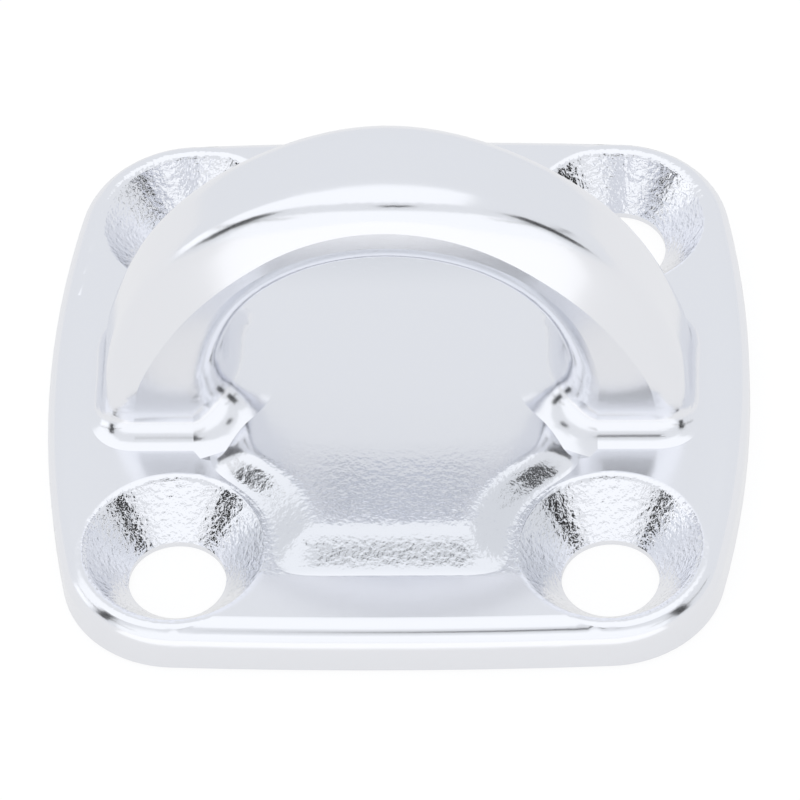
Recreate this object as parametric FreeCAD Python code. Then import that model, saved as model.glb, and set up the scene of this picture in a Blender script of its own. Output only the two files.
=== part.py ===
import FreeCAD, Part
import math
import os

# Square pad eye: a polished stainless casting in one piece. A thick plate with
# four countersunk screw holes carries a round-topped bail on two flared feet,
# and a low saddle runs between the feet to the front and the back of the plate.
# Frame: X across the bail, Y along the eye, +Z up. The origin is the centre of
# the plate's underside. Lengths are millimetres and angles are degrees.

V = FreeCAD.Vector

# Plate
PLATE_WIDTH = 62.1           # X, at the middle of the bowed sides
PLATE_DEPTH = 58.1           # Y, at the middle of the bowed ends
PLATE_THICK = 5.1
SIDE_BOW_R = 99.0            # the left and right edges are long arcs
END_BOW_R = 465.0            # the front and back edges are nearly straight
CORNER_R = 10.3
TOP_EDGE_R = 2.1             # rounding along the upper edge
BOTTOM_CHAMFER = 0.35

# Screw holes
HOLE_SPACING_X = 38.0
HOLE_SPACING_Y = 38.0
HOLE_D = 8.6                 # clears an 8 mm countersunk screw
CSK_D = 16.2                 # where the cone meets the plate's top face
CSK_ANGLE = 80.0             # included angle of the cone
CSK_LIP_R = 0.9              # rounding at the rim of the cone
CUT_MARGIN = 1.0             # how far a screw's cutter runs past the plate

# Bail: a half ring on two legs
BORE_R = 14.9                # radius of the eye
BORE_Z = 11.8                # height of the ring's centre above the underside
BAIL_THICK = 7.9             # radial, at the crown
BAIL_WIDTH = 11.5            # Y, across the flat faces
RIM_DEPTH = 2.9              # radial depth of the rounded inner rim
LEG_SPREAD = 1.9             # how much further out the ring's sides stand than its crown
SHOULDER_DEPTH = 2.9         # depth of the rounded outer shoulder at the crown
SHOULDER_SWELL = 1.5         # extra depth half-way down the ring
SHOULDER_LEAN = 1.3          # how far the shoulder slants in from a leg's flat face

# Feet
FOOT_LEAN = 1.2              # the leg's outer face runs out this much below the ring
FOOT_DRAFT = 0.1             # extra half width at the foot
FOOT_FILLET = 3.1            # fillet from the foot to the plate, front and back
SIDE_FILLET = (2.1, 2.4)     # the same on the outer side: reach and rise
NOSE_FILLET = (5.2, 5.0)     # on the inner side, down to the saddle
ROUND_GROWTH = (2.0, 3.0)    # how much its outer and inner corners open out down the fillets

# Saddle between the feet: a low flat table
SADDLE_RISE = 2.2            # above the plate's top face
SADDLE_TOP = 37.6            # Y, length of its flat top
SADDLE_LENGTH = 43.8         # Y, from toe to toe
SADDLE_WIDTH = 32.0          # X, at the plate, between the feet
SADDLE_GAP = 0.8             # ring left between a countersink and the saddle's toe
SADDLE_SIDE = 3.0            # width of its sloping side
SADDLE_TURNS = (1.7, 1.0)    # reach of its turns, over the upper edge and at the toe
SADDLE_STEPS = (0.2, 0.4, 0.54, 0.65, 0.74, 0.83)  # parts of its half top where its width is set

# Smooth skins: where their poles stand
CORNER_SHARES = [(0, 1), (0.5, 1), (1, 0.5), (1, -0.3), (1, None)]  # down and across a rounded side
LEAN_SHARES = [0, 1, 2 / 3, 1 / 3, 0]  # how much of the lean each of those poles takes
RISE_SHARES = [0, 0, 0.6, 1, 1]        # how much each takes of its own side's fillet
RING_SPANS = 4               # spans from the crown to the top of a leg
RING_STEP = 90 / RING_SPANS
RING_STEPS = [RING_STEP * i for i in range(-RING_SPANS, RING_SPANS + 1)]
BORE_LAG = 0.89              # the bore's poles trail the outside, to reach the saddle with it
LEG_STEPS = [0.5, 1.0]
FILLET_STEPS = [22.5, 45, 67.5, 90]
SEARCH_STEPS = 30
BED = 0.25                   # how far the feet's fillets end below the face under them
TOE_BED = 0.05               # the same for the saddle's toe
TOE_MARGIN = 1.0             # how far the saddle's skin runs on below the plate's face
ROOT_DEPTH = 1.5             # how far the feet run down into the plate
LEVEL_TOLERANCE = 0.01       # an edge this flat is level
RIM_DIP = 0.3                # a rim may dip this far into the plate's rounded edge
RIM_REACH = 1.1              # and run this much wider than its own circle
HOLE_R = HOLE_D / 2
CSK_R = CSK_D / 2


def arc_edge(start, middle, end):
    """Circular edge through three points."""
    return Part.Arc(start, middle, end).toShape()


def line_edge(start, end):
    """Straight edge."""
    return Part.LineSegment(start, end).toShape()


def bowed_outline():
    """Plate outline at z = 0: four long bows joined by four tangent corners."""
    side_centre = V(PLATE_WIDTH / 2 - SIDE_BOW_R, 0, 0)
    end_centre = V(0, PLATE_DEPTH / 2 - END_BOW_R, 0)
    between = end_centre - side_centre
    from_side = SIDE_BOW_R - CORNER_R
    from_end = END_BOW_R - CORNER_R
    span = between.Length
    along = (from_side ** 2 - from_end ** 2 + span ** 2) / (2 * span)
    across = math.sqrt(from_side ** 2 - along ** 2)
    axis = between / span
    corner = side_centre + axis * along + V(-axis.y, axis.x, 0) * across

    def away(centre, radius):
        """Point of the outline where the corner meets the bow about this centre."""
        return centre + (corner - centre).normalize() * radius

    side_touch = away(side_centre, SIDE_BOW_R)
    end_touch = away(end_centre, END_BOW_R)
    chord_middle = (side_touch + end_touch) / 2
    corner_middle = corner + (chord_middle - corner).normalize() * CORNER_R

    def flip(point, x_sign, y_sign):
        """The point moved to another quarter of the plate."""
        return V(point.x * x_sign, point.y * y_sign, 0)

    edges = []
    for x_sign in (1, -1):
        edges.append(arc_edge(flip(side_touch, x_sign, -1), V(x_sign * PLATE_WIDTH / 2, 0, 0),
                              flip(side_touch, x_sign, 1)))
        for y_sign in (1, -1):
            edges.append(arc_edge(flip(side_touch, x_sign, y_sign), flip(corner_middle, x_sign, y_sign),
                                  flip(end_touch, x_sign, y_sign)))
    for y_sign in (1, -1):
        edges.append(arc_edge(flip(end_touch, -1, y_sign), V(0, y_sign * PLATE_DEPTH / 2, 0),
                              flip(end_touch, 1, y_sign)))
    return Part.Wire(Part.sortEdges(edges)[0])


def hole_places():
    """Axes of the four screw holes."""
    return [V(sx * HOLE_SPACING_X / 2, sy * HOLE_SPACING_Y / 2, 0) for sx in (1, -1) for sy in (1, -1)]


def revolve_profile(edges, place):
    """Solid of revolution about the vertical line through a place; the profile is in XZ."""
    body = Part.Face(Part.Wire(edges)).revolve(V(0, 0, 0), V(0, 0, 1), 360)
    body.translate(place)
    return body


def screw_cutter(place):
    """Hole and countersink, the cone run on a little above the plate."""
    slope = math.tan(math.radians(CSK_ANGLE / 2))
    land = PLATE_THICK - (CSK_R - HOLE_R) / slope
    top = PLATE_THICK + CUT_MARGIN
    corners = [V(0, 0, -CUT_MARGIN), V(HOLE_R, 0, -CUT_MARGIN), V(HOLE_R, 0, land),
               V(CSK_R + CUT_MARGIN * slope, 0, top), V(0, 0, top)]
    edges = [line_edge(start, end) for start, end in zip(corners, corners[1:] + corners[:1])]
    return revolve_profile(edges, place)


def level_edges(body, height):
    """Edges that lie flat at this height."""
    found = []
    for edge in body.Edges:
        box = edge.BoundBox
        if abs(box.ZMin - height) < LEVEL_TOLERANCE and box.ZLength < LEVEL_TOLERANCE:
            found.append(edge)
    return found


def rim_edges(body):
    """Edges where the countersinks open in the plate's top face."""
    found = []
    for edge in body.Edges:
        box = edge.BoundBox
        for place in hole_places():
            offset = box.Center - place
            reach = max(abs(offset.x) + box.XLength / 2, abs(offset.y) + box.YLength / 2)
            high = box.ZMin > PLATE_THICK - RIM_DIP
            if high and reach < CSK_R * RIM_REACH and box.XLength > CSK_LIP_R:
                found.append(edge)
    return found


def make_plate():
    """Bowed plate with its screw holes; outer edges and rims rounded."""
    plate = Part.Face(bowed_outline()).extrude(V(0, 0, PLATE_THICK))
    plate = plate.makeFillet(TOP_EDGE_R, level_edges(plate, PLATE_THICK))
    plate = plate.makeChamfer(BOTTOM_CHAMFER, level_edges(plate, 0))
    for place in hole_places():
        plate = plate.cut(screw_cutter(place))
    return plate.makeFillet(CSK_LIP_R, rim_edges(plate))


def clamped_knots(count):
    """Knots and multiplicities of an even cubic spline with this many poles."""
    inner = count - 3
    return [i / inner for i in range(inner + 1)], [4] + [1] * (inner - 1) + [4]


def net_surface(rows):
    """Smooth face on a net of poles: cubic where a row or column has four or more."""
    counts = (len(rows), len(rows[0]))
    knots, mults, degrees = [], [], []
    for count in counts:
        if count < 4:
            knots.append([0.0, 1.0])
            mults.append([2, 2])
            degrees.append(1)
        else:
            spaced, repeats = clamped_knots(count)
            knots.append(spaced)
            mults.append(repeats)
            degrees.append(3)
    surface = Part.BSplineSurface()
    surface.buildFromPolesMultsKnots(rows, mults[0], mults[1], knots[0], knots[1], False, False, *degrees)
    return surface.toShape()


def net_edge(poles):
    """Edge on a row of poles, matching the border of a net surface."""
    if len(poles) == 2:
        return line_edge(*poles)
    knots, mults = clamped_knots(len(poles))
    curve = Part.BSplineCurve()
    curve.buildFromPolesMultsKnots(poles, mults, knots, False, 3)
    return curve.toShape()


def closed_body(faces):
    """Solid from faces that share their borders."""
    shell = Part.Shell(faces)
    shell.sewShape()
    body = Part.Solid(Part.Shell(shell.Faces))
    if body.Volume < 0:
        body.reverse()
    return body


def flattened(poles, level):
    """The poles moved to one level."""
    return [V(p.x, p.y, level) for p in poles]


def saddle_half_width(y):
    """Half width of the saddle at its toe: it is hollowed to pass between the countersinks."""
    clear = CSK_R + SADDLE_GAP
    short = min(max(HOLE_SPACING_Y / 2 - abs(y), 0.0), clear)
    return min(HOLE_SPACING_X / 2 - math.sqrt(clear ** 2 - short ** 2), SADDLE_WIDTH / 2)


def soft_profile(corners, turns, steps):
    """Poles of a half profile that turns softly at its inner corners, and their mirror image.

    The steps are parts of the first leg that get a pole as well.
    """
    half = [corners[0] + (corners[1] - corners[0]) * share for share in (0,) + steps]
    for before, corner, after, turn in zip(corners, corners[1:], corners[2:], turns):
        half.append(corner + (before - corner).normalize() * turn)
        half.append(corner)
        half.append(corner + (after - corner).normalize() * turn)
    half.append(corners[-1])
    return [V(-p.x, 0, p.z) for p in half[:0:-1]] + half


def saddle_ends():
    """Poles of the saddle's profile along Y: place, half width and share of the rise."""
    toe = SADDLE_LENGTH / 2
    corners = [V(0, 0, SADDLE_RISE), V(SADDLE_TOP / 2, 0, SADDLE_RISE), V(toe, 0, 0),
               V(toe + TOE_MARGIN, 0, 0)]
    poles = soft_profile(corners, SADDLE_TURNS, SADDLE_STEPS)
    return [V(p.x, saddle_half_width(p.x), p.z / SADDLE_RISE) for p in poles]


def saddle_sides():
    """Poles of the saddle's profile across its waist: place, share that widens, share of the rise."""
    edge = SADDLE_WAIST - SADDLE_SIDE
    corners = [V(0, 0, SADDLE_RISE), V(edge, 0, SADDLE_RISE), V(SADDLE_WAIST, 0, 0),
               V(SADDLE_WAIST + TOE_MARGIN, 0, 0)]
    poles = soft_profile(corners, SADDLE_TURNS, ())
    return [V(p.x, min(max(p.x / edge, -1), 1), p.z / SADDLE_RISE) for p in poles]


def saddle_level(share):
    """Height of the saddle's skin where it has this share of its rise."""
    return PLATE_THICK - TOE_BED + (SADDLE_RISE + TOE_BED) * share


def make_saddle():
    """Saddle as one smooth skin, closed inside the plate."""
    rows = [[V(side.x + side.y * (end.y - SADDLE_WAIST), end.x, saddle_level(side.z * end.z))
             for side in saddle_sides()] for end in saddle_ends()]
    borders = [rows[0], rows[-1], [row[0] for row in rows], [row[-1] for row in rows]]
    root = PLATE_THICK - ROOT_DEPTH
    faces = [net_surface(rows)]
    faces += [net_surface([border, flattened(border, root)]) for border in borders]
    faces.append(Part.Face(Part.Wire(Part.sortEdges([net_edge(flattened(b, root)) for b in borders])[0])))
    return closed_body(faces)


def point_over(curve, place, widening):
    """Point of a profile curve at this place, once the curve is widened by its second share."""
    low, high = curve.FirstParameter, curve.LastParameter
    for _ in range(SEARCH_STEPS):
        middle = (low + high) / 2
        point = curve.value(middle)
        if point.x + point.y * widening < place:
            low = middle
        else:
            high = middle
    return curve.value(low)


def ground_height(x, y):
    """Height of the plate's top face, or of the saddle where it is higher."""
    end = point_over(ENDS_CURVE, y, 0)
    side = point_over(SIDES_CURVE, x, end.y - SADDLE_WAIST)
    return max(saddle_level(end.z * side.z), PLATE_THICK)


def ring_point(radius, angle):
    """Pole in the XZ plane at an angle from the crown, for a ring of this radius."""
    turn = math.radians(angle)
    reach = radius * 3 / (2 + math.cos(math.radians(RING_STEP)))
    return V(reach * math.sin(turn), 0, BORE_Z + reach * math.cos(turn))


def rounded_side(level, tip, half, round_y, lean):
    """Poles over a rounded side, from one flat face of the bail to the other.

    They leave the faces at the first point's level and turn the corner to the
    tip in this much of the width. The lean is how far the side slants in.
    """
    poles = []
    for (along, across), slant in zip(CORNER_SHARES, LEAN_SHARES):
        point = level + (tip - level) * along
        y = 0 if across is None else half - round_y * (1 - across)
        poles.append(V(point.x, max(y - lean * slant, 0), point.z))
    return poles + [V(p.x, -p.y, p.z) for p in reversed(poles[:-1])]


def bail_section(inner, rim, crease, outer, half, rounds, lean):
    """Four strips of poles round the bail, through four points of its profile in the XZ plane."""
    outside = rounded_side(crease, outer, half, rounds[0], lean)
    inside = rounded_side(rim, inner, half, rounds[1], 0.0)
    return [outside, [outside[-1], inside[-1]], inside[::-1], [inside[0], outside[0]]]


def ring_section(angle):
    """Section of the ring at an angle from the crown."""
    down = abs(angle) / 90.0
    outer_r = BORE_R + BAIL_THICK + LEG_SPREAD * down ** 3
    depth = SHOULDER_DEPTH + SHOULDER_SWELL * math.sin(math.pi * down) * min(2 * down, 1.0)
    lean = SHOULDER_LEAN * math.sin(math.pi * min(down, 0.5)) ** 2
    return bail_section(ring_point(BORE_R, angle * BORE_LAG), ring_point(BORE_R + RIM_DEPTH, angle),
                        ring_point(outer_r - depth, angle), ring_point(outer_r, angle),
                        BAIL_WIDTH / 2, (SHOULDER_DEPTH, RIM_DEPTH), lean)


def foot_outline(side, shares):
    """Section of a foot in plan, with this share of its fillets added all round."""
    outer_x = BORE_R + BAIL_THICK + LEG_SPREAD + FOOT_LEAN
    points = [BORE_R - NOSE_FILLET[0] * shares, BORE_R + RIM_DEPTH, outer_x - SHOULDER_DEPTH,
              outer_x + SIDE_FILLET[0] * shares]
    half = BAIL_WIDTH / 2 + FOOT_DRAFT + FOOT_FILLET * shares
    rounds = (SHOULDER_DEPTH + ROUND_GROWTH[0] * shares, RIM_DEPTH + ROUND_GROWTH[1] * shares)
    return bail_section(*[V(side * x, 0, 0) for x in points], half, rounds, 0.0)


def foot_rises():
    """Height of the fillet at each pole of a foot's four strips."""
    def over(rise):
        half = [FOOT_FILLET + (rise - FOOT_FILLET) * share for share in RISE_SHARES]
        return half + half[-2::-1]
    ends = [FOOT_FILLET, FOOT_FILLET]
    return [over(SIDE_FILLET[1]), ends, over(NOSE_FILLET[1]), ends]


def foot_section(side, slope):
    """Section of a foot where its fillet has turned this far from upright."""
    spread_out = 1 - math.cos(math.radians(slope))
    climb = 1 - math.sin(math.radians(slope))
    start, end = foot_outline(side, 0), foot_outline(side, 1)
    section = []
    for near, far, rises in zip(start, end, foot_rises()):
        strip = []
        for a, b, rise in zip(near, far, rises):
            level = ground_height(b.x, b.y) - BED + rise * climb
            strip.append(V(a.x + (b.x - a.x) * spread_out, a.y + (b.y - a.y) * spread_out, level))
        section.append(strip)
    return section


def between(start, end, share):
    """Section part of the way from one section to another."""
    return [[a + (b - a) * share for a, b in zip(near, far)] for near, far in zip(start, end)]


def make_bail():
    """Ring, legs and flared feet as one smooth skin, closed by roots inside the plate."""
    ring = [ring_section(angle) for angle in RING_STEPS]
    feet = []
    for side, end in ((-1, ring[0]), (1, ring[-1])):
        leg = [between(end, foot_section(side, 0), share) for share in LEG_STEPS]
        feet.append(leg + [foot_section(side, slope) for slope in FILLET_STEPS])
    sections = feet[0][::-1] + ring + feet[1]
    faces = [net_surface([section[strip] for section in sections]) for strip in range(4)]
    root = PLATE_THICK - ROOT_DEPTH
    for end in (sections[0], sections[-1]):
        faces += [net_surface([strip, flattened(strip, root)]) for strip in end]
        faces.append(Part.Face(Part.Wire([net_edge(flattened(strip, root)) for strip in end])))
    return closed_body(faces)


# The saddle's profiles, which the feet follow too
SADDLE_WAIST = saddle_half_width(HOLE_SPACING_Y / 2)
ENDS_CURVE = net_edge(saddle_ends()).Curve
SIDES_CURVE = net_edge(saddle_sides()).Curve

if __name__ == "__main__":
    os.makedirs("parts", exist_ok=True)
    body = make_plate().fuse(make_saddle()).fuse(make_bail())
    body.exportStep("parts/pad_eye.step")
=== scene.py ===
import logging
import math
from dataclasses import dataclass, field
from enum import Enum
from typing import Any

import bpy
from mathutils import Matrix, Vector

# Studio view of a polished cast stainless pad eye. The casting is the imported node,
# which only takes its finish here. The rest is the table, the lights and the camera.
# Lengths are metres unless a name ends in _mm.

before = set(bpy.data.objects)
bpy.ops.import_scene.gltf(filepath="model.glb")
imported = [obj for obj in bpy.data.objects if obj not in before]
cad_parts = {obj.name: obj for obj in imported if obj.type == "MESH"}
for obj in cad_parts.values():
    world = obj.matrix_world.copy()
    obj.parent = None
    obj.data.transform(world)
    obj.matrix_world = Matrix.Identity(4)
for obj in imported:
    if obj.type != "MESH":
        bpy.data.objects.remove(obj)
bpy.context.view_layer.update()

logging.basicConfig(level=logging.INFO, format="%(levelname)s %(message)s")
LOG = logging.getLogger("pad_eye_scene")

MM = 0.001


class Side(Enum):
    """Where a light or a dark thing stands, seen from the camera."""

    OVERHEAD = "overhead"
    FRONT = "front"
    LEFT = "left"
    RIGHT = "right"
    LENS = "lens"


def linear(hex_colour: str) -> tuple[float, float, float, float]:
    """Turn an sRGB hex colour into linear RGBA.

    Args:
        hex_colour: Six hex digits, without a hash.

    Returns:
        Linear red, green, blue and an alpha of one.
    """
    channels = [int(hex_colour[i:i + 2], 16) / 255 for i in (0, 2, 4)]
    r, g, b = [c / 12.92 if c <= 0.04045 else ((c + 0.055) / 1.055) ** 2.4 for c in channels]
    return (r, g, b, 1.0)


def add_node(tree: Any, kind: str, inputs: dict | None = None, **settings: Any) -> Any:
    """Add one node to a tree, with its settings, values and links.

    Args:
        tree: The node tree that takes the node.
        kind: The node's type name.
        inputs: Socket name or number to its value, or to the output that feeds it.
        **settings: Properties of the node itself.

    Returns:
        The new node.
    """
    node = tree.nodes.new(kind)
    for name, value in settings.items():
        setattr(node, name, value)
    for socket, value in (inputs or {}).items():
        if isinstance(value, bpy.types.NodeSocket):
            tree.links.new(value, node.inputs[socket])
        else:
            node.inputs[socket].default_value = value
    return node


@dataclass(frozen=True)
class PolishedCastStainless:
    """Cast 316 stainless steel, tumbled and buffed.

    Buffing leaves a satin mirror with a cool cast and a slight waviness. The wheel
    doesn't reach the sloping ends of the saddle or the countersinks. The slopes keep
    the grain of the casting, under a greyer tint that is painted shade for the darker
    reflection of the tilted slopes. The countersinks keep the grain too,
    under a brighter skin, and it breaks up each reflection.
    """

    tint: str = "F1F2F6"
    # painted shade: the saddle's slopes are drawn greyer for the darker reflection that they show
    saddle_painted_shade_tint: str = "E5E7EC"
    roughness: float = 0.17
    hole_roughness: float = 0.09
    wave_mm: float = 3.0            # from rise to rise of the wave that the wheel leaves
    wave_height_mm: float = 0.0050
    grain_mm: float = 0.50          # grain of the ceramic mould, drawn coarser so that it shows
    grain_height_mm: float = 0.085
    noise_detail: float = 2.0
    hole_place_mm: float = 19.0
    hole_edge_mm: tuple[float, float] = (8.5, 8.1)
    saddle_side_mm: tuple[float, float] = (15.5, 13.5)
    saddle_slope_mm: tuple[float, float] = (8.0, 14.0)
    saddle_toe_mm: tuple[float, float] = (22.6, 21.6)

    def grain_and_painted_shade_masks(self, tree: Any, place: Any) -> tuple[Any, Any]:
        """Mark the countersinks and the saddle's slopes, which the wheel doesn't reach and which
        keep the grain. The slopes also take a painted shade.

        Args:
            tree: The material's node tree.
            place: Output with the object coordinates.

        Returns:
            Two outputs, one in the countersinks and one on the slopes, and nought elsewhere. The
            one on the slopes sets the painted shade as well as the grain.
        """
        aside = add_node(tree, "ShaderNodeVectorMath", {0: place}, operation="ABSOLUTE").outputs[0]
        centre = (self.hole_place_mm * MM, self.hole_place_mm * MM, 0.0)
        from_hole = add_node(tree, "ShaderNodeVectorMath", {0: aside, 1: centre},
                             operation="SUBTRACT")
        in_plan = add_node(tree, "ShaderNodeVectorMath",
                           {0: from_hole.outputs[0], 1: (1.0, 1.0, 0.0)}, operation="MULTIPLY")
        reach = add_node(tree, "ShaderNodeVectorMath", {0: in_plan.outputs[0]}, operation="LENGTH")
        apart = add_node(tree, "ShaderNodeSeparateXYZ", {0: aside})
        edges = [(reach.outputs["Value"], self.hole_edge_mm),
                 (apart.outputs["X"], self.saddle_side_mm),
                 (apart.outputs["Y"], self.saddle_slope_mm),
                 (apart.outputs["Y"], self.saddle_toe_mm)]
        # Each mask grows from nought to one between its two lengths.
        holes, side, slope, toe = [
            add_node(tree, "ShaderNodeMapRange",
                     {"Value": length, "From Min": start * MM, "From Max": end * MM},
                     interpolation_type="SMOOTHSTEP").outputs["Result"]
            for length, (start, end) in edges]
        ends = add_node(tree, "ShaderNodeMath", {0: slope, 1: toe}, operation="MULTIPLY")
        # This mask sets both the grain and the painted shade on the slopes.
        saddle = add_node(tree, "ShaderNodeMath", {0: side, 1: ends.outputs[0]},
                          operation="MULTIPLY")
        return holes, saddle.outputs[0]

    def relief(self, tree: Any, place: Any, size_mm: float, height_mm: float,
               below: dict | None = None) -> Any:
        """Add one layer of surface relief.

        Args:
            tree: The material's node tree.
            place: Output with the object coordinates.
            size_mm: Width of one grain.
            height_mm: Height of the relief.
            below: The layer's strength and the layer below it.

        Returns:
            The layer's normal output.
        """
        noise = add_node(tree, "ShaderNodeTexNoise",
                         {"Vector": place, "Scale": 1 / (size_mm * MM),
                          "Detail": self.noise_detail})
        bump = add_node(tree, "ShaderNodeBump",
                        {"Height": noise.outputs["Fac"], "Strength": 1.0,
                         "Distance": height_mm * MM, **(below or {})})
        return bump.outputs["Normal"]

    def material(self) -> Any:
        """Build the finish.

        Returns:
            The new material.
        """
        made = bpy.data.materials.new("polished_cast_stainless")
        made.use_nodes = True
        tree = made.node_tree
        shader = tree.nodes["Principled BSDF"]
        shader.inputs["Metallic"].default_value = 1.0
        place = add_node(tree, "ShaderNodeTexCoord").outputs["Object"]
        holes, saddle = self.grain_and_painted_shade_masks(tree, place)
        grainy = add_node(tree, "ShaderNodeMath", {0: holes, 1: saddle}, operation="MAXIMUM")
        # The Mix node's colour sockets are numbers 6 and 7, and its colour output is 2.
        # The slopes take the greyer tint, a painted shade; the rest keeps the metal's own tint.
        colour = add_node(tree, "ShaderNodeMix",
                          {0: saddle, 6: linear(self.tint), 7: linear(self.saddle_painted_shade_tint)},
                          data_type="RGBA")
        rough = add_node(tree, "ShaderNodeMix",
                         {"Factor": holes, "A": self.roughness, "B": self.hole_roughness})
        wave = self.relief(tree, place, self.wave_mm, self.wave_height_mm)
        grain = self.relief(tree, place, self.grain_mm, self.grain_height_mm,
                            {"Strength": grainy.outputs[0], "Normal": wave})
        tree.links.new(colour.outputs[2], shader.inputs["Base Color"])
        tree.links.new(rough.outputs["Result"], shader.inputs["Roughness"])
        tree.links.new(grain, shader.inputs["Normal"])
        return made


@dataclass
class Casting:
    """The pad eye itself, one casting: plate, saddle and bail."""

    node: str = "pad_eye"
    finish: PolishedCastStainless = field(default_factory=PolishedCastStainless)

    def build(self) -> Any:
        """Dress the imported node.

        Returns:
            The node's object.
        """
        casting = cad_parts[self.node]
        made = self.finish.material()
        for slot in casting.material_slots:
            slot.material = made
        return casting


@dataclass(frozen=True)
class SoftBox:
    """A plain light panel. A reflection shows its level on top of the surround's."""

    side: Side
    place: tuple[float, float, float]
    target: tuple[float, float, float]
    size: tuple[float, float]
    level: float

    def build(self) -> Any:
        """Hang the panel facing its target.

        Returns:
            The panel's object.
        """
        lamp = bpy.data.lights.new("soft_box_" + self.side.value, "AREA")
        lamp.shape = "RECTANGLE"
        lamp.size, lamp.size_y = self.size
        lamp.energy = self.level * math.pi * lamp.size * lamp.size_y
        box = bpy.data.objects.new(lamp.name, lamp)
        box.location = self.place
        aim = Vector(self.target) - Vector(self.place)
        box.rotation_euler = aim.to_track_quat("-Z", "Y").to_euler()
        bpy.context.scene.collection.objects.link(box)
        return box


@dataclass(frozen=True)
class DarkCard:
    """Something dark in the room that shows in the casting, such as the camera."""

    side: Side
    place: tuple[float, float, float]
    size: tuple[float, float]
    tone: float

    def build(self) -> Any:
        """Stand the card facing the casting, out of the camera's sight.

        Returns:
            The card's object.
        """
        half_x, half_y = self.size[0] / 2, self.size[1] / 2
        turned = (-Vector(self.place)).to_track_quat("Z", "Y").to_matrix()
        corners = [(-half_x, -half_y), (half_x, -half_y), (half_x, half_y), (-half_x, half_y)]
        mesh = bpy.data.meshes.new("dark_card_" + self.side.value)
        points = [Vector(self.place) + turned @ Vector((x, y, 0)) for x, y in corners]
        mesh.from_pydata(points, [], [(0, 1, 2, 3)])
        made = bpy.data.materials.new(mesh.name)
        made.use_nodes = True
        tree = made.node_tree
        glow = add_node(tree, "ShaderNodeEmission", {"Color": (self.tone, self.tone, self.tone, 1)})
        tree.links.new(glow.outputs[0], tree.nodes["Material Output"].inputs["Surface"])
        mesh.materials.append(made)
        card = bpy.data.objects.new(mesh.name, mesh)
        card.visible_camera = False
        card.visible_diffuse = False
        card.visible_shadow = False
        bpy.context.scene.collection.objects.link(card)
        return card


def around(tilt_deg: float, turn_deg: float, distance: float) -> tuple[float, float, float]:
    """Find a place as the casting sees it.

    Args:
        tilt_deg: Angle from straight up.
        turn_deg: Angle from the camera's side towards the right.
        distance: Distance from the casting.

    Returns:
        The place.
    """
    tilt, turn = math.radians(tilt_deg), math.radians(turn_deg)
    reach = distance * math.sin(tilt)
    return (reach * math.sin(turn), -reach * math.cos(turn), distance * math.cos(tilt))


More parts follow.
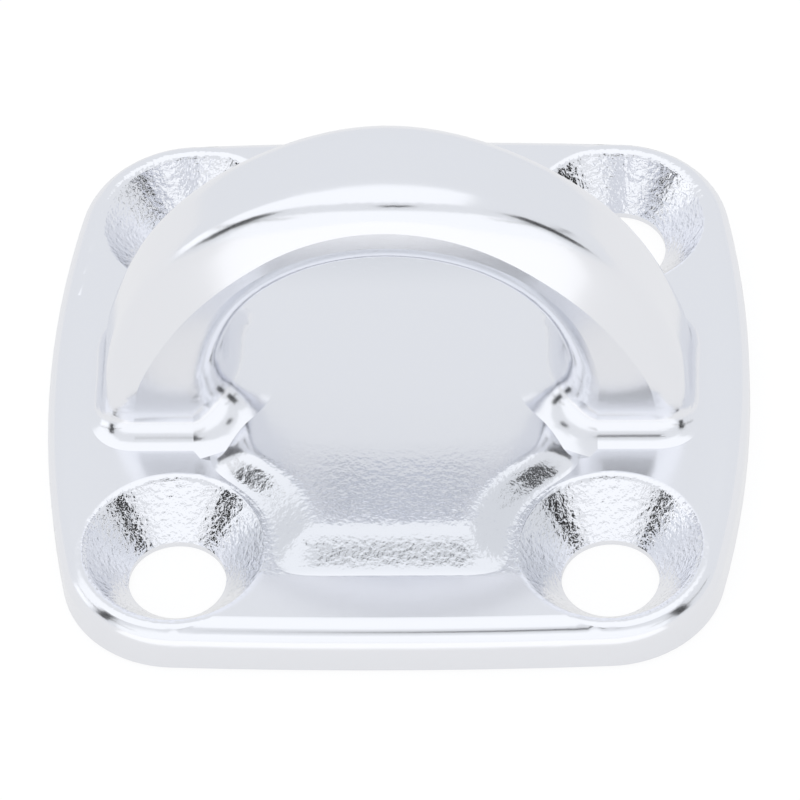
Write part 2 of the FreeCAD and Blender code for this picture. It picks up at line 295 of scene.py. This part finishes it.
@dataclass
class Studio:
    """Pale table, soft boxes, the dark things between them and a plain surround."""

    table_size: float = 6.0
    table_drop_mm: float = 0.05     # keeps the table just clear of the plate's underside
    table_colour: str = "F2F2F2"
    table_roughness: float = 0.9
    table_glow: float = 0.8
    shade_end: float = 0.0325       # the plate's own shade on the table ends here
    lit_start: float = 0.0355
    shade_spread: float = 1.0
    shade_level: float = 0.90
    lit_level: float = 1.20
    camera_level: float = 1.07
    surround_colour: str = "EBEDF0"
    soft_boxes: list[SoftBox] = field(default_factory=lambda: [
        SoftBox(Side.OVERHEAD, (-0.6, 0.03, 0.8), (-0.6, 0.03, 0), (2.2, 0.83), 0.23),
        SoftBox(Side.LEFT, (-1.7, 0, 0.45), (0, 0, 0.45), (0.7, 0.7), 0.30),
        SoftBox(Side.FRONT, around(71.5, 0, 0.9), (0, 0, 0), (2.2, 0.55), 0.23),
    ])
    dark_cards: list[DarkCard] = field(default_factory=lambda: [
        DarkCard(Side.LENS, around(40, 4.5, 1.06), (0.24, 0.13), 0.02),
        DarkCard(Side.LEFT, (-1.85, -0.68, 0.81), (2.4, 0.08), 0.05),
        DarkCard(Side.RIGHT, (1.85, -0.68, 0.81), (2.4, 0.08), 0.05),
        DarkCard(Side.LEFT, around(68, -66, 0.95), (0.19, 0.46), 0.03),
        DarkCard(Side.RIGHT, around(68, 66, 0.95), (0.21, 0.46), 0.03),
    ])

    def table_strength(self, tree: Any, path: Any) -> Any:
        """Grey the table but for its lit front, as the casting sees it in its own shade.

        Args:
            tree: The table material's node tree.
            path: The tree's Light Path node.

        Returns:
            Output with the strength of the table's glow, white for the camera.
        """
        place = add_node(tree, "ShaderNodeTexCoord").outputs["Object"]
        apart = add_node(tree, "ShaderNodeSeparateXYZ", {0: place})
        aside = add_node(tree, "ShaderNodeMath", {0: apart.outputs["X"]}, operation="ABSOLUTE")
        beyond = add_node(tree, "ShaderNodeMath", {0: aside.outputs[0], 1: self.shade_end},
                          operation="SUBTRACT")
        outside = add_node(tree, "ShaderNodeMath", {0: beyond.outputs[0], 1: 0.0},
                           operation="MAXIMUM")
        narrowed = add_node(tree, "ShaderNodeMath", {0: outside.outputs[0], 1: -self.shade_spread},
                            operation="MULTIPLY")
        ahead = add_node(tree, "ShaderNodeMath", {0: narrowed.outputs[0], 1: apart.outputs["Y"]},
                         operation="SUBTRACT")
        lit = add_node(tree, "ShaderNodeMapRange",
                       {"Value": ahead.outputs[0], "From Min": self.shade_end,
                        "From Max": self.lit_start, "To Min": self.shade_level,
                        "To Max": self.lit_level},
                       interpolation_type="SMOOTHSTEP")
        seen = add_node(tree, "ShaderNodeMix",
                        {"Factor": path.outputs["Is Camera Ray"], "A": lit.outputs["Result"],
                         "B": self.camera_level})
        return seen.outputs["Result"]

    def table(self) -> Any:
        """Build the table top, white to the camera, with the casting's shadow kept on it.

        Returns:
            The table's object.
        """
        half = self.table_size / 2
        mesh = bpy.data.meshes.new("table_top")
        corners = [(-half, -half), (half, -half), (half, half), (-half, half)]
        mesh.from_pydata([(x, y, -self.table_drop_mm * MM) for x, y in corners], [], [(0, 1, 2, 3)])
        table = bpy.data.objects.new("table_top", mesh)
        bpy.context.scene.collection.objects.link(table)
        made = bpy.data.materials.new("white_table")
        made.use_nodes = True
        tree = made.node_tree
        matt = tree.nodes["Principled BSDF"]
        matt.inputs["Base Color"].default_value = linear(self.table_colour)
        matt.inputs["Roughness"].default_value = self.table_roughness
        matt.inputs["Specular IOR Level"].default_value = 0.0
        path = add_node(tree, "ShaderNodeLightPath")
        direct = add_node(tree, "ShaderNodeMath", {0: path.outputs["Is Camera Ray"],
                                                   1: path.outputs["Is Glossy Ray"]},
                          operation="MAXIMUM")
        share = add_node(tree, "ShaderNodeMath", {0: direct.outputs[0], 1: self.table_glow},
                         operation="MULTIPLY")
        glow = add_node(tree, "ShaderNodeEmission",
                        {"Color": (1, 1, 1, 1), "Strength": self.table_strength(tree, path)})
        mixed = add_node(tree, "ShaderNodeMixShader",
                         {0: share.outputs[0], 1: matt.outputs[0], 2: glow.outputs[0]})
        tree.links.new(mixed.outputs[0], tree.nodes["Material Output"].inputs["Surface"])
        mesh.materials.append(made)
        return table

    def surround(self) -> None:
        """Set the plain surround that fills the rest of the view."""
        world = bpy.data.worlds.new("surround")
        bpy.context.scene.world = world
        world.use_nodes = True
        backdrop = world.node_tree.nodes["Background"]
        backdrop.inputs["Color"].default_value = linear(self.surround_colour)
        backdrop.inputs["Strength"].default_value = 1.0

    def build(self) -> list[Any]:
        """Build the whole studio.

        Returns:
            Its objects.
        """
        table = self.table()
        self.surround()
        return [table] + [piece.build() for piece in self.soft_boxes + self.dark_cards]


@dataclass(frozen=True)
class ProductCamera:
    """Long lens looking down on the casting from just over its front edge."""

    place_mm: tuple[float, float, float] = (52.2708, -663.2598, 793.7581)
    pitch_deg: float = 49.947
    yaw_deg: float = -4.500
    roll_deg: float = -3.721
    focal_px: float = 11670.956
    image_px: int = 800
    sensor_mm: float = 36.0
    clip_end: float = 10.0

    def build(self) -> Any:
        """Make the camera and look through it.

        Returns:
            The camera's object.
        """
        pitch, yaw, roll = [math.radians(v) for v in (self.pitch_deg, self.yaw_deg, self.roll_deg)]
        ahead = Vector((math.sin(yaw) * math.cos(pitch), math.cos(yaw) * math.cos(pitch),
                        -math.sin(pitch)))
        level = Vector((math.cos(yaw), -math.sin(yaw), 0))
        upright = level.cross(ahead)
        right = level * math.cos(roll) + upright * math.sin(roll)
        up = upright * math.cos(roll) - level * math.sin(roll)
        lens = bpy.data.cameras.new("product_camera")
        lens.sensor_width = self.sensor_mm
        lens.lens = self.focal_px / self.image_px * self.sensor_mm
        lens.clip_end = self.clip_end
        camera = bpy.data.objects.new("product_camera", lens)
        turned = Matrix((right, up, -ahead)).transposed().to_4x4()
        turned.translation = Vector(self.place_mm) * MM
        camera.matrix_world = turned
        bpy.context.scene.collection.objects.link(camera)
        bpy.context.scene.camera = camera
        return camera


def main() -> None:
    """Build the camera, the studio and the dressed casting."""
    bpy.context.scene.view_settings.view_transform = "Standard"
    for piece in [ProductCamera().build(), *Studio().build(), Casting().build()]:
        LOG.info("built %s", piece.name)


if __name__ == "__main__":
    main()
